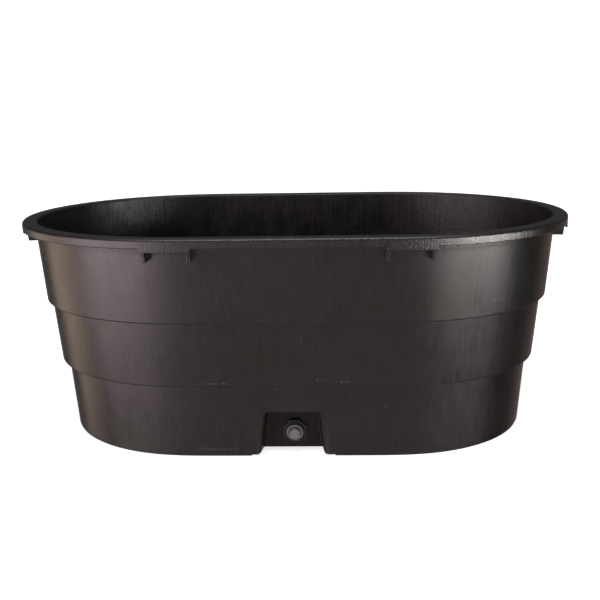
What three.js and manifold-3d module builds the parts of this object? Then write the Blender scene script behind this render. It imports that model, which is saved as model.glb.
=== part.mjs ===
// Oval livestock water trough: a one-piece stepped tank with a threaded drain fitting.
// Millimetres, +Z up, +X along the trough, the drain faces -Y, the origin is on the floor.
import * as THREE from 'three';
import { mergeVertices } from 'three/addons/utils/BufferGeometryUtils.js';
import Module from 'manifold-3d';

const wasm = await Module();
wasm.setup();

// ---- Driving dimensions -------------------------------------------------------------

const LENGTH = 1600;
const WIDTH = 915;
const HEIGHT = 635;
const STRAIGHT_HALF = 279.5; // half of the straight run between the two rounded ends
const END_STEPS = 24; // facets round each end
const TURNED_STEPS = 40; // facets round the drain fitting

// Every level of the tank is the same oval, set in or out. A level's reach is half its width.
const RIM_REACH = WIDTH / 2;
const END_LONGER = LENGTH / 2 - STRAIGHT_HALF - RIM_REACH; // an end is longer than it is wide

const WALL = 7;
const FLOOR_UNDERSIDE = 11;
const FLOOR_TOP = 19;

// The outside of each wall tier: reach and height at its lower and its upper edge.
const LOW_TIER = { foot: [344.2, 0], head: [358.9, 215.8] };
const MID_TIER = { foot: [377, 215.8], head: [391.5, 400.5] };
const TOP_TIER = { foot: [405.7, 400.5], head: [420.4, 609] };
const TIER_EDGE_RADIUS = 4;
const SHELF_EDGE_RADIUS = 10;
const BASIN_FLOOR_RADIUS = 14;
const SMALL_FILLET = 3;

const FLANGE = 6.5; // thickness of the flat rim
const LIP = 6; // thickness of the rim's downturned lip
const LIP_BOTTOM = 610;
const RIM_EDGE_RADIUS = 8;
const RIM_INNER_RADIUS = 6;

// Hand grips: between two gussets the lip hangs lower.
const GUSSET = 9;
const GUSSET_INSET = 6; // its hanging edge, in from the face of the rim
const SIDE_GRIP = { drop: 10, gussetBottom: 573 };
const SIDE_GUSSETS = [249.5, 366.5]; // distances from the middle, at the rim
const SIDE_GRIP_LIP = [247, 374]; // the lowered lip runs a little past the outer gusset
const END_GRIP = { drop: 13.5, gussetBottom: 568 };
const END_GUSSET = 72; // half the spacing of an end grip's gussets
const END_GRIP_LIP = 118;

// Recess in the front wall, open below, a little wider to the left of the middle than to the
// right. Each side's distance from the middle at the floor, and what it loses per mm up.
const RECESS_TOP = 132.5;
const RECESS_MOUTH = { left: 99, leftTaper: 0.162, right: 91.5, rightTaper: 0.1225, y: -380 };
const RECESS_BACK = { left: 85, leftTaper: 0.112, right: 82, rightTaper: 0.0925, y: -305 };
const RECESS_CORNER = 10;

// The wall runs down past the floor as a skirt, and stands on a narrower foot ring.
const SKIRT_WIDTH = 13;
const SKIRT_BOTTOM = 4;
const SKIRT_EDGE_RADIUS = 3;
const FOOT_WIDTH = 9;
const FOOT_INSET = 2.5; // in from the face of the skirt
const FOOT_EDGE = 1; // bevel along the bottom of the foot ring
const FOOT_TOP = SKIRT_BOTTOM + 2; // sunk into the skirt
const FOOT_GAP = 113; // half of the break in the foot ring at the recess

// Drain fitting, on an axis along Y.
const DRAIN_X = 4.5;
const DRAIN_Z = 65;
const GAP = 0.3; // clearance between two touching pieces
const HOLE_RADIUS = 26.5;
const BARREL_RADIUS = 26;
const BORE_RADIUS = 21.25;
const SHANK_RADIUS = 20.9;
const SHANK_LENGTH = 19.4;
const HEAD_RADIUS = 39;
const HEAD_THICKNESS = 6;
const GASKET_THICKNESS = 2.4;
const WASHER_RADIUS = 31;
const WASHER_THICKNESS = 1.8;
const NUT_ACROSS_FLATS = 63;
const NUT_THICKNESS = 12;
const NUT_CHAMFER = 2;
const BARREL_PROUD = 2.4; // the barrel's end stands out of the nut by this
const SEAL_THICKNESS = 2.6;
const SEAL_RADIUS = 23;
const COLLAR_RADIUS = 22.5;
const COLLAR_THICKNESS = 5.6;
const HEX_ACROSS_FLATS = 27;
const HEX_PROUD = 13; // the hexagon stands out of the collar by this

// ---- Geometry helpers ---------------------------------------------------------------

function toSolid(geometry) {
  const bare = geometry.clone();
  bare.deleteAttribute('normal');
  bare.deleteAttribute('uv');
  const merged = mergeVertices(bare, 1e-4);
  const vertProperties = new Float32Array(merged.attributes.position.array);
  const triVerts = new Uint32Array(merged.index.array);
  return new wasm.Manifold(new wasm.Mesh({ numProp: 3, vertProperties, triVerts }));
}

function toGeometry(solid) {
  const { vertProperties, triVerts } = solid.getMesh();
  const geometry = new THREE.BufferGeometry();
  geometry.setAttribute('position', new THREE.Float32BufferAttribute(vertProperties, 3));
  geometry.setIndex(Array.from(triVerts));
  geometry.computeVertexNormals();
  return geometry;
}

// A closed skin through loops of equal length. Ends are capped with fans, or joined in a ring.
function skin(loops, joined = false) {
  const count = loops[0].length;
  const positions = loops.flat(2);
  const index = [];
  const spans = joined ? loops.length : loops.length - 1;
  for (let i = 0; i < spans; i += 1) {
    const here = i * count;
    const next = ((i + 1) % loops.length) * count;
    for (let j = 0; j < count; j += 1) {
      const k = (j + 1) % count;
      index.push(here + j, here + k, next + k, here + j, next + k, next + j);
    }
  }
  if (!joined) {
    const ends = [[loops[0], 0, true], [loops.at(-1), (loops.length - 1) * count, false]];
    for (const [loop, start, flip] of ends) {
      const centre = [0, 1, 2].map((axis) => loop.reduce((sum, point) => sum + point[axis], 0) / count);
      const hub = positions.length / 3;
      positions.push(...centre);
      for (let j = 0; j < count; j += 1) {
        const k = (j + 1) % count;
        index.push(hub, start + (flip ? k : j), start + (flip ? j : k));
      }
    }
  }
  const geometry = new THREE.BufferGeometry();
  geometry.setAttribute('position', new THREE.Float32BufferAttribute(positions, 3));
  geometry.setIndex(index);
  return geometry;
}

// Points of an arc in a profile, from one angle to another in degrees, both included.
function arc([x, z], radius, from, to, steps) {
  return Array.from({ length: steps + 1 }, (_, i) => {
    const angle = THREE.MathUtils.degToRad(from + ((to - from) * i) / steps);
    return [x + radius * Math.cos(angle), z + radius * Math.sin(angle)];
  });
}

// ---- The oval -----------------------------------------------------------------------

// The oval at one level, anticlockwise seen from above.
function oval(reach, z) {
  const points = [];
  for (const [side, start] of [[1, -90], [-1, 90]]) {
    for (let i = 0; i <= END_STEPS; i += 1) {
      const angle = THREE.MathUtils.degToRad(start + (180 * i) / END_STEPS);
      points.push([
        side * STRAIGHT_HALF + (reach + END_LONGER) * Math.cos(angle),
        reach * Math.sin(angle),
        z,
      ]);
    }
  }
  return points;
}

const loft = (profile, joined) => skin(profile.map(([reach, z]) => oval(reach, z)), joined);

function reachAt({ foot, head }, z) {
  return foot[0] + ((head[0] - foot[0]) * (z - foot[1])) / (head[1] - foot[1]);
}

// The outside edge under a tier: the ledge above the tier below, then the rounded lower edge.
function tierEdge(tier, below) {
  const z = tier.foot[1];
  const fillet = arc([below.head[0] + SMALL_FILLET, z - SMALL_FILLET], SMALL_FILLET, 180, 90, 2);
  const centreZ = z + TIER_EDGE_RADIUS;
  const centreX = reachAt(tier, centreZ) - TIER_EDGE_RADIUS;
  return [...fillet, ...arc([centreX, centreZ], TIER_EDGE_RADIUS, -90, 0, 3)];
}

// The shelf inside at the same place, from the top down.
function innerShelf(tier, below) {
  const z = tier.foot[1] + WALL;
  const wall = reachAt(tier, z + SMALL_FILLET) - WALL;
  const radius = SHELF_EDGE_RADIUS;
  const lip = reachAt(below, z - radius) - WALL;
  return [
    ...arc([wall - SMALL_FILLET, z + SMALL_FILLET], SMALL_FILLET, 0, -90, 2),
    ...arc([lip + radius, z - radius], radius, 90, 180, 4),
  ];
}

// The whole section of the wall, from the middle of the underside out, over the rim and back in.
function wallSection() {
  const skirtFoot = reachAt(LOW_TIER, SKIRT_BOTTOM);
  const skirtEdge = SKIRT_BOTTOM + SKIRT_EDGE_RADIUS;
  const skirtCentre = reachAt(LOW_TIER, skirtEdge) - SKIRT_EDGE_RADIUS;
  const flangeUnderside = HEIGHT - FLANGE;
  const neck = reachAt(TOP_TIER, flangeUnderside - SMALL_FILLET);
  const lipInside = RIM_REACH - LIP;
  const lipRound = 2;
  const innerWall = neck - WALL;
  const innerFloorEdge = FLOOR_TOP + BASIN_FLOOR_RADIUS;
  const innerFoot = reachAt(LOW_TIER, innerFloorEdge) - WALL;
  return [
    [skirtFoot - SKIRT_WIDTH - 2, FLOOR_UNDERSIDE],
    [skirtFoot - SKIRT_WIDTH, SKIRT_BOTTOM],
    ...arc([skirtCentre, skirtEdge], SKIRT_EDGE_RADIUS, -90, 0, 3),
    ...tierEdge(MID_TIER, LOW_TIER),
    ...tierEdge(TOP_TIER, MID_TIER),
    ...arc([neck + SMALL_FILLET, flangeUnderside - SMALL_FILLET], SMALL_FILLET, 180, 90, 2),
    ...arc([lipInside - SMALL_FILLET, flangeUnderside - SMALL_FILLET], SMALL_FILLET, 90, 0, 2),
    ...arc([lipInside + lipRound, LIP_BOTTOM + lipRound], lipRound, 180, 270, 2),
    ...arc([RIM_REACH - lipRound, LIP_BOTTOM + lipRound], lipRound, -90, 0, 2),
    ...arc([RIM_REACH - RIM_EDGE_RADIUS, HEIGHT - RIM_EDGE_RADIUS], RIM_EDGE_RADIUS, 0, 90, 4),
    ...arc([innerWall + RIM_INNER_RADIUS, HEIGHT - RIM_INNER_RADIUS], RIM_INNER_RADIUS, 90, 180, 3),
    ...innerShelf(TOP_TIER, MID_TIER),
    ...innerShelf(MID_TIER, LOW_TIER),
    ...arc([innerFoot - BASIN_FLOOR_RADIUS, innerFloorEdge], BASIN_FLOOR_RADIUS, 0, -90, 4),
  ];
}

// ---- Parts of the tank moulding -----------------------------------------------------

// A gusset across the hollow under the rim, at a point of the rim's outline. It faces along the
// outline's normal there, an angle from +X in radians.
function gusset(x, y, facing, { drop, gussetBottom }) {
  const root = reachAt(TOP_TIER, gussetBottom) - WALL / 2 - RIM_REACH;
  const taper = 3;
  const shoulder = LIP_BOTTOM - drop + 2;
  const shape = new THREE.Shape([
    new THREE.Vector2(root, gussetBottom),
    new THREE.Vector2(-GUSSET_INSET - taper, gussetBottom),
    new THREE.Vector2(-GUSSET_INSET, shoulder),
    new THREE.Vector2(-LIP / 2, shoulder),
    new THREE.Vector2(-LIP / 2, HEIGHT - FLANGE / 2),
    new THREE.Vector2(root, HEIGHT - FLANGE / 2),
  ]);
  const plate = new THREE.ExtrudeGeometry(shape, { depth: GUSSET, bevelEnabled: false });
  plate.translate(0, 0, -GUSSET / 2);
  plate.rotateX(Math.PI / 2);
  plate.rotateZ(facing);
  plate.translate(x, y, 0);
  return toSolid(plate);
}

// A gusset on a rounded end: end is 1 or -1, and the angle goes round it from its tip.
function endGusset(end, angle, grip) {
  const long = RIM_REACH + END_LONGER;
  const normal = Math.atan2(Math.sin(angle) / RIM_REACH, Math.cos(angle) / long);
  const x = end * (STRAIGHT_HALF + long * Math.cos(angle));
  const y = end * RIM_REACH * Math.sin(angle);
  return gusset(x, y, end > 0 ? normal : normal + Math.PI, grip);
}

const HOOP_TOP = LIP_BOTTOM + 4; // sunk into the lip
const HOOP_BAND = 60; // deep enough to take in the hoop wherever it bends over a grip

// The lowered stretch of lip between two gussets, cut from a hoop by a block over the grip.
function gripLip(hoop, low, high) {
  const size = high.map((value, axis) => value - low[axis]);
  const block = new THREE.BoxGeometry(...size);
  block.translate(...low.map((value, axis) => value + size[axis] / 2));
  return hoop.intersect(toSolid(block));
}

// The lip at its lowered height all the way round, to be cut to the grips.
function lipHoop({ drop }) {
  return toSolid(loft([
    [RIM_REACH - 1, LIP_BOTTOM - drop],
    [RIM_REACH - 0.4, HOOP_TOP],
    [RIM_REACH - LIP + 0.4, HOOP_TOP],
    [RIM_REACH - LIP + 1, LIP_BOTTOM - drop],
  ], true));
}

function addSideGrips(tank) {
  const hoop = lipHoop(SIDE_GRIP);
  const [near, far] = SIDE_GUSSETS;
  const [lipNear, lipFar] = SIDE_GRIP_LIP;
  const farAngle = Math.acos((far - STRAIGHT_HALF) / (RIM_REACH + END_LONGER));
  const low = LIP_BOTTOM - SIDE_GRIP.drop - 1;
  let result = tank;
  for (const end of [-1, 1]) {
    for (const side of [-1, 1]) {
      const span = end > 0 ? [lipNear, lipFar] : [-lipFar, -lipNear];
      const across = side > 0 ? [RIM_REACH - HOOP_BAND, RIM_REACH] : [-RIM_REACH, HOOP_BAND - RIM_REACH];
      result = result
        .add(gusset(end * near, side * RIM_REACH, (side * Math.PI) / 2, SIDE_GRIP))
        .add(endGusset(end, end * side * farAngle, SIDE_GRIP))
        .add(gripLip(hoop, [span[0], across[0], low], [span[1], across[1], HOOP_TOP]));
    }
  }
  return result;
}

function addEndGrips(tank) {
  const hoop = lipHoop(END_GRIP);
  const angle = Math.asin(END_GUSSET / RIM_REACH);
  const low = LIP_BOTTOM - END_GRIP.drop - 1;
  const tip = LENGTH / 2;
  let result = tank;
  for (const end of [-1, 1]) {
    const along = end > 0 ? [tip - HOOP_BAND, tip] : [-tip, HOOP_BAND - tip];
    result = result
      .add(endGusset(end, angle, END_GRIP))
      .add(endGusset(end, -angle, END_GRIP))
      .add(gripLip(hoop, [along[0], -END_GRIP_LIP, low], [along[1], END_GRIP_LIP, HOOP_TOP]));
  }
  return result;
}

// Outline of the recess at one depth, grown by a margin, seen from the front.
function recessLoop({ left, leftTaper, right, rightTaper, y }, margin, bottom, corner = RECESS_CORNER) {
  const top = RECESS_TOP + margin;
  const side = (reach, taper) => {
    const at = (z) => reach - taper * z + margin;
    const cornerX = at(top - corner) - corner;
    return [[at(bottom), bottom], ...arc([cornerX, top - corner], corner, 0, 90, 5)];
  };
  const leftSide = side(left, leftTaper).map(([x, z]) => [-x, z]).reverse();
  return [...side(right, rightTaper), ...leftSide].map(([x, z]) => [x, y, z]);
}

// The hollow of the recess, or its housing when grown, with the edge of its back eased.
function recessSolid(margin, bottom) {
  const easing = 5;
  const share = easing / (RECESS_BACK.y - RECESS_MOUTH.y);
  const backY = RECESS_BACK.y + margin;
  const shrunk = { left: RECESS_BACK.left - easing / 2, right: RECESS_BACK.right - easing / 2 };
  const eased = {
    left: THREE.MathUtils.lerp(RECESS_BACK.left, RECESS_MOUTH.left, share),
    right: THREE.MathUtils.lerp(RECESS_BACK.right, RECESS_MOUTH.right, share),
  };
  return toSolid(skin([
    recessLoop({ ...RECESS_BACK, ...shrunk, y: backY }, margin, bottom),
    recessLoop({ ...RECESS_BACK, ...eased, y: backY - easing }, margin, bottom, RECESS_CORNER + margin),
    recessLoop(RECESS_MOUTH, margin, bottom, RECESS_CORNER + margin),
  ]));
}

function addRecess(tank) {
  const envelope = toSolid(loft([
    [reachAt(LOW_TIER, FLOOR_UNDERSIDE) - WALL / 2, FLOOR_UNDERSIDE],
    [reachAt(LOW_TIER, RECESS_TOP + 40) - WALL / 2, RECESS_TOP + 40],
  ]));
  const alcove = recessSolid(WALL, FLOOR_UNDERSIDE).intersect(envelope);
  const hole = new THREE.CylinderGeometry(HOLE_RADIUS, HOLE_RADIUS, 40, TURNED_STEPS);
  hole.translate(DRAIN_X, RECESS_BACK.y, DRAIN_Z);
  return tank
    .add(alcove)
    .subtract(recessSolid(0, -1))
    .subtract(toSolid(hole));
}

function footRing() {
  const outer = reachAt(LOW_TIER, SKIRT_BOTTOM) - FOOT_INSET;
  const inner = outer - FOOT_WIDTH;
  const hoop = toSolid(loft([
    [inner, FOOT_TOP],
    [inner, FOOT_EDGE],
    [inner + FOOT_EDGE, 0],
    [outer - FOOT_EDGE, 0],
    [outer, FOOT_EDGE],
    [outer, FOOT_TOP],
  ], true));
  const deep = 100;
  const y = -LOW_TIER.foot[0] - deep / 2;
  const wedge = (half, z) => [[half, y, z], [half, y + deep, z], [-half, y + deep, z], [-half, y, z]];
  const gap = skin([wedge(FOOT_GAP + FOOT_TOP, -1), wedge(FOOT_GAP, FOOT_TOP + 1)]);
  return hoop.subtract(toSolid(gap));
}

function tankShell() {
  const walls = toSolid(loft(wallSection()));
  return toGeometry(addRecess(addEndGrips(addSideGrips(walls))).add(footRing()));
}

// ---- Drain fitting ------------------------------------------------------------------

// Planes across the drain axis, from inside the tank outwards.
const INNER_FACE = RECESS_BACK.y + WALL;
const HEAD_BACK = INNER_FACE + GAP + GASKET_THICKNESS + GAP;
const NUT_BACK = RECESS_BACK.y - GAP - WASHER_THICKNESS - GAP;
const NUT_FRONT = NUT_BACK - NUT_THICKNESS;
const BARREL_END = NUT_FRONT - BARREL_PROUD;
const COLLAR_BACK = BARREL_END - GAP - SEAL_THICKNESS - GAP;
const COLLAR_FRONT = COLLAR_BACK - COLLAR_THICKNESS;

// A turned piece: [radius, y] points, listed so that its faces point out.
function turned(points) {
  const profile = points.map(([radius, y]) => new THREE.Vector2(radius, y));
  const geometry = new THREE.LatheGeometry(profile, TURNED_STEPS);
  geometry.translate(DRAIN_X, 0, DRAIN_Z);
  return geometry;
}

// A flat ring between two planes across the axis.
function ring(inner, outer, back, thickness) {
  const front = back - thickness;
  return turned([[inner, front], [outer, front], [outer, back], [inner, back], [inner, front]]);
}

// A straight-sided bar with chamfered front corners, a flat or a corner facing up.
function facetedBar(sides, acrossFlats, back, front, chamfer, turn) {
  const loopAt = (flats, y) => Array.from({ length: sides }, (_, i) => {
    const angle = turn + (2 * Math.PI * i) / sides;
    const radius = flats / 2 / Math.cos(Math.PI / sides);
    return [DRAIN_X + radius * Math.sin(angle), y, DRAIN_Z + radius * Math.cos(angle)];
  });
  return toSolid(skin([
    loopAt(acrossFlats - 2 * chamfer, front),
    loopAt(acrossFlats, front + chamfer),
    loopAt(acrossFlats, back),
  ]));
}

function bulkheadBody() {
  const headFront = HEAD_BACK + HEAD_THICKNESS;
  const edge = 1.2;
  return turned([
    [BORE_RADIUS, BARREL_END],
    [BARREL_RADIUS - edge, BARREL_END],
    [BARREL_RADIUS, BARREL_END + edge],
    [BARREL_RADIUS, HEAD_BACK],
    [HEAD_RADIUS, HEAD_BACK],
    [HEAD_RADIUS, headFront - edge],
    [HEAD_RADIUS - edge, headFront],
    [BORE_RADIUS, headFront],
    [BORE_RADIUS, BARREL_END],
  ]);
}

function lockNut() {
  const blank = facetedBar(8, NUT_ACROSS_FLATS, NUT_BACK, NUT_FRONT, NUT_CHAMFER, Math.PI / 8);
  const bore = new THREE.CylinderGeometry(BARREL_RADIUS + GAP, BARREL_RADIUS + GAP, 60, TURNED_STEPS);
  bore.translate(DRAIN_X, NUT_BACK, DRAIN_Z);
  return toGeometry(blank.subtract(toSolid(bore)));
}

function drainPlug() {
  const tip = COLLAR_BACK + SHANK_LENGTH;
  const cup = { inner: 17.8, floor: COLLAR_BACK - 0.8 }; // hollow between collar and hexagon
  const core = { radius: 15, floor: COLLAR_BACK + 5 }; // the shank is moulded hollow from behind
  const body = toSolid(turned([
    [0, cup.floor],
    [cup.inner - 0.5, cup.floor],
    [cup.inner, COLLAR_FRONT],
    [COLLAR_RADIUS - 1, COLLAR_FRONT],
    [COLLAR_RADIUS, COLLAR_FRONT + 1],
    [COLLAR_RADIUS, COLLAR_BACK],
    [SHANK_RADIUS, COLLAR_BACK],
    [SHANK_RADIUS, tip - 1.5],
    [SHANK_RADIUS - 1.5, tip],
    [core.radius, tip],
    [core.radius - 0.5, core.floor],
    [0, core.floor],
  ]));
  const hexFront = COLLAR_FRONT - HEX_PROUD;
  const hex = facetedBar(6, HEX_ACROSS_FLATS, cup.floor + 1, hexFront, 1, 0);
  return toGeometry(body.add(hex));
}

// ---- Scene graph --------------------------------------------------------------------

const plastic = (color, roughness) => new THREE.MeshStandardMaterial({ color, roughness, metalness: 0 });
const TANK_PLASTIC = plastic(0x2e2724, 0.5);
const FITTING_PLASTIC = plastic(0x26282a, 0.45);
const PLUG_PLASTIC = plastic(0x86837f, 0.5);
const RUBBER = plastic(0x161616, 0.8);

const trough = new THREE.Group();

function addPart(name, geometry, material) {
  const mesh = new THREE.Mesh(geometry, material);
  mesh.name = name;
  trough.add(mesh);
}

addPart('tank_shell', tankShell(), TANK_PLASTIC);
addPart('bulkhead_body', bulkheadBody(), FITTING_PLASTIC);
addPart('flange_gasket', ring(HOLE_RADIUS, HEAD_RADIUS - 1, HEAD_BACK - GAP, GASKET_THICKNESS), RUBBER);
addPart(
  'slip_washer',
  ring(HOLE_RADIUS, WASHER_RADIUS, RECESS_BACK.y - GAP, WASHER_THICKNESS),
  FITTING_PLASTIC,
);
addPart('lock_nut', lockNut(), FITTING_PLASTIC);
addPart('drain_plug', drainPlug(), PLUG_PLASTIC);
addPart('plug_seal', ring(BORE_RADIUS, SEAL_RADIUS, BARREL_END - GAP, SEAL_THICKNESS), RUBBER);

export default trough;
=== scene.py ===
"""Looks for the oval livestock water trough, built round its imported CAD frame.

Everything is in metres in the row frame: +X along the trough, -Y the drain side, +Z up.
"""
import math

import bmesh
import bpy
from mathutils import Matrix, Vector


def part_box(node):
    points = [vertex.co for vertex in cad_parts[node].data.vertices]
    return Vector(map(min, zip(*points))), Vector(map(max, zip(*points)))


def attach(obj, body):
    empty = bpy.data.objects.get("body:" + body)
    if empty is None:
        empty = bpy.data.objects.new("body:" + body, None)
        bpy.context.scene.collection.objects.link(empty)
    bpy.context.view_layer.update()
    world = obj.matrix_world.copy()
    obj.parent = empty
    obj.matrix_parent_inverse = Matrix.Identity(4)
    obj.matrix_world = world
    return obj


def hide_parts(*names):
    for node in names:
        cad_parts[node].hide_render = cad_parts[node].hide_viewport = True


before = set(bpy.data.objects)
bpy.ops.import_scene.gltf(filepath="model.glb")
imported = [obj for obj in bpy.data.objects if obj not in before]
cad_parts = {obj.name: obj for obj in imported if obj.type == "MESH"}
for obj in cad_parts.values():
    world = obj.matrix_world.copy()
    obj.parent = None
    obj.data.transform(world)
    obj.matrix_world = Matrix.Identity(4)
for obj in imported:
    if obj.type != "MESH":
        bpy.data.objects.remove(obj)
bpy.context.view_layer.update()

# ---- Sizes: the frame gives the outside, the rest are the moulding's own dimensions ------

shell_low, shell_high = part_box("tank_shell")
HALF_LENGTH = shell_high.x
RIM_REACH = shell_high.y
HEIGHT = shell_high.z
STRAIGHT_HALF = 0.2795
END_LONGER = HALF_LENGTH - STRAIGHT_HALF - RIM_REACH
# The sides ease into the rounded ends over this stretch before and after the straight run's end.
EASE_BEFORE, EASE_AFTER = 0.11, 0.21
GRIP_STEP = 0.0012  # half the width of the step where a lip drops at a hand grip

WALL = 0.007
FLOOR_UNDERSIDE = 0.011
FLOOR_TOP = 0.019
LOW_TIER = ((0.3442, 0.0), (0.3589, 0.2158))
MID_TIER = ((0.3770, 0.2158), (0.3915, 0.4005))
TOP_TIER = ((0.4057, 0.4005), (0.4204, 0.609))
TIER_EDGE = 0.004
SHELF_EDGE = 0.010
BASIN_FLOOR_EDGE = 0.014
FILLET = 0.003

FLANGE = 0.0065
LIP = 0.006
LIP_BOTTOM = 0.610
LIP_ROUND = 0.0022
RIM_EDGE = 0.008
RIM_INNER_EDGE = 0.006
GUSSET = 0.009
GUSSET_BEVEL = 0.0017
GUSSET_INSET = 0.006
SIDE_DROP, SIDE_GUSSET_BOTTOM = 0.010, 0.573
END_DROP, END_GUSSET_BOTTOM = 0.0135, 0.568
SIDE_GUSSETS = (0.2495, 0.3665)
SIDE_GRIP_LIP = (0.247, 0.374)
END_GUSSET_OFFSET = 0.072
END_GRIP_LIP = 0.118

RECESS_TOP = 0.1325
RECESS_MOUTH_Y = -0.380
# Each side of the recess: half width at the floor and its loss per metre up, mouth then back.
RECESS_LEFT = ((0.099, 0.162), (0.085, 0.112))
RECESS_RIGHT = ((0.0915, 0.1225), (0.082, 0.0925))
RECESS_BACK_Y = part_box("slip_washer")[1].y + 0.0003
RECESS_CORNER = 0.010
RECESS_FLARE = 0.004
RECESS_INNER_ROUND = 0.004
RECESS_DEPTH = 0.044
RECESS_SHADE_DEPTH = 0.012  # from here back the recess has its own duller material, painted shade for the recess
SKIRT_WIDTH = 0.013
SKIRT_BOTTOM = 0.004
SKIRT_EDGE = 0.003
SKIRT_CORNER = 0.010
FOOT_WIDTH = 0.009
FOOT_INSET = 0.0025
FOOT_GAP = 0.113

nut_low, nut_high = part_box("lock_nut")
DRAIN_X = (nut_low.x + nut_high.x) / 2
DRAIN_Z = (nut_low.z + nut_high.z) / 2
HOLE_RADIUS = 0.0265
BARREL_RADIUS = 0.026
BORE_RADIUS = 0.02125
SHANK_RADIUS = 0.0209
NUT_ACROSS_FLATS = nut_high.z - nut_low.z
HEX_ACROSS_FLATS = 0.027
THREAD_PITCH = 0.0022087
THREAD_DEPTH = 0.0011
COLLAR_SETBACK = 0.0194  # from the plug's inner end out to the back of its collar
DISH_SETBACK = 0.0008
PLUG_AXIS_HOLE = 0.0010


# ---- Mesh helpers -----------------------------------------------------------------------

def arc(centre, radius, start, end, steps):
    """Points of an arc in a profile, angles in degrees, both ends included."""
    points = []
    for i in range(steps + 1):
        angle = math.radians(start + (end - start) * i / steps)
        points.append((centre[0] + radius * math.cos(angle), centre[1] + radius * math.sin(angle)))
    return points


def new_object(name, mesh):
    """An object from a bmesh, which is freed."""
    data = bpy.data.meshes.new(name)
    mesh.to_mesh(data)
    mesh.free()
    thing = bpy.data.objects.new(name, data)
    bpy.context.scene.collection.objects.link(thing)
    return thing


def skin(name, loops, joined=False):
    """A closed mesh through closed loops of equal length, capped at its ends or joined in a ring."""
    mesh = bmesh.new()
    rows = [[mesh.verts.new(point) for point in loop] for loop in loops]
    count = len(rows[0])
    pairs = list(zip(rows, rows[1:]))
    if joined:
        pairs.append((rows[-1], rows[0]))
    for lower, upper in pairs:
        for j in range(count):
            k = (j + 1) % count
            mesh.faces.new((lower[j], lower[k], upper[k], upper[j]))
    if not joined:
        mesh.faces.new(list(reversed(rows[0])))
        mesh.faces.new(rows[-1])
    bmesh.ops.recalc_face_normals(mesh, faces=mesh.faces)
    return new_object(name, mesh)


def bake_modifiers(thing):
    graph = bpy.context.evaluated_depsgraph_get()
    graph.update()
    baked = bpy.data.meshes.new_from_object(thing.evaluated_get(graph))
    thing.modifiers.clear()
    thing.data = baked


def boolean(target, tool, operation):
    """Applies a boolean with the tool object, which is then removed."""
    modifier = target.modifiers.new("cut", "BOOLEAN")
    modifier.operation = operation
    modifier.solver = "EXACT"
    modifier.object = tool
    bake_modifiers(target)
    bpy.data.objects.remove(tool)


def smooth(thing, degrees=35):
    """Smooth shading with sharp edges past an angle and normals weighted by face area."""
    for face in thing.data.polygons:
        face.use_smooth = True
    thing.data.set_sharp_from_angle(angle=math.radians(degrees))
    weighted = thing.modifiers.new("normals", "WEIGHTED_NORMAL")
    weighted.keep_sharp = True


def join(target, others):
    """Adds the other objects' meshes to the target's."""
    mesh = bmesh.new()
    for thing in [target, *others]:
        mesh.from_mesh(thing.data)
    mesh.to_mesh(target.data)
    mesh.free()
    for thing in others:
        bpy.data.objects.remove(thing)


# ---- The oval tank ----------------------------------------------------------------------

def outline_columns(end_steps=112, side_steps=42):
    """Places round the oval, anticlockwise from above: ("end", side, angle) or ("side", side, x)."""
    long_axis = RIM_REACH + END_LONGER
    side_lip_angle = math.acos((SIDE_GRIP_LIP[1] - STRAIGHT_HALF) / long_axis)
    end_lip_angle = math.asin(END_GRIP_LIP / RIM_REACH)
    angles = [-math.pi / 2 + math.pi * i / end_steps for i in range(end_steps + 1)]
    for edge in (side_lip_angle, end_lip_angle):
        for offset in (-GRIP_STEP / long_axis, GRIP_STEP / long_axis):
            angles += [edge + offset, -edge + offset]
    angles.sort()
    xs = [STRAIGHT_HALF * (2 * i / side_steps - 1) for i in range(1, side_steps)]
    for edge in (SIDE_GRIP_LIP[0], -SIDE_GRIP_LIP[0]):
        xs += [edge - GRIP_STEP, edge + GRIP_STEP]
    xs.sort()
    columns = [("end", 1, angle) for angle in angles]
    columns += [("side", 1, x) for x in reversed(xs)]
    columns += [("end", -1, angle) for angle in angles]
    columns += [("side", -1, x) for x in xs]
    return columns


def eased_width(past, reach):
    """Half the oval's width at a distance past the straight run, its curvature eased in.

    A fifth-degree curve: level and straight where it starts, and with the width, slope and
    bend of the rounded end where it stops.
    """
    long_axis = reach + END_LONGER
    share = EASE_AFTER / long_axis
    end_width = reach * math.sqrt(1 - share ** 2)
    end_slope = -reach * share / long_axis / math.sqrt(1 - share ** 2)
    end_bend = -reach / long_axis ** 2 / (1 - share ** 2) ** 1.5
    span = EASE_AFTER + EASE_BEFORE
    t = (past + EASE_BEFORE) / span
    rise, turn, curl = end_width - reach, end_slope * span, end_bend * span ** 2 / 2
    cubic = 10 * rise - 4 * turn + curl
    quartic = -15 * rise + 7 * turn - 2 * curl
    quintic = 6 * rise - 3 * turn + curl
    return reach + t ** 3 * (cubic + t * (quartic + t * quintic))


def place(column, reach):
    """The point of the oval of one reach in one column, as (x, y)."""
    kind, side, value = column
    if kind == "side":
        x, y, flip = value, reach, 1
    else:
        x = STRAIGHT_HALF + (reach + END_LONGER) * math.cos(value)
        y, flip = reach * math.sin(value), side
    past = abs(x) - STRAIGHT_HALF
    if -EASE_BEFORE < past < EASE_AFTER:
        y = math.copysign(eased_width(past, reach), y)
    return flip * x, side * y


def lip_drop(column):
    """How far below the ordinary lip it hangs in a column: more than 0 at the hand grips."""
    x, y = place(column, RIM_REACH)
    if SIDE_GRIP_LIP[0] < abs(x) < SIDE_GRIP_LIP[1] and abs(y) > RIM_REACH / 2:
        return SIDE_DROP
    if abs(y) < END_GRIP_LIP and abs(x) > STRAIGHT_HALF:
        return END_DROP
    return 0.0


def reach_at(tier, z):
    (foot_reach, foot_z), (head_reach, head_z) = tier
    return foot_reach + (head_reach - foot_reach) * (z - foot_z) / (head_z - foot_z)


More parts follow.
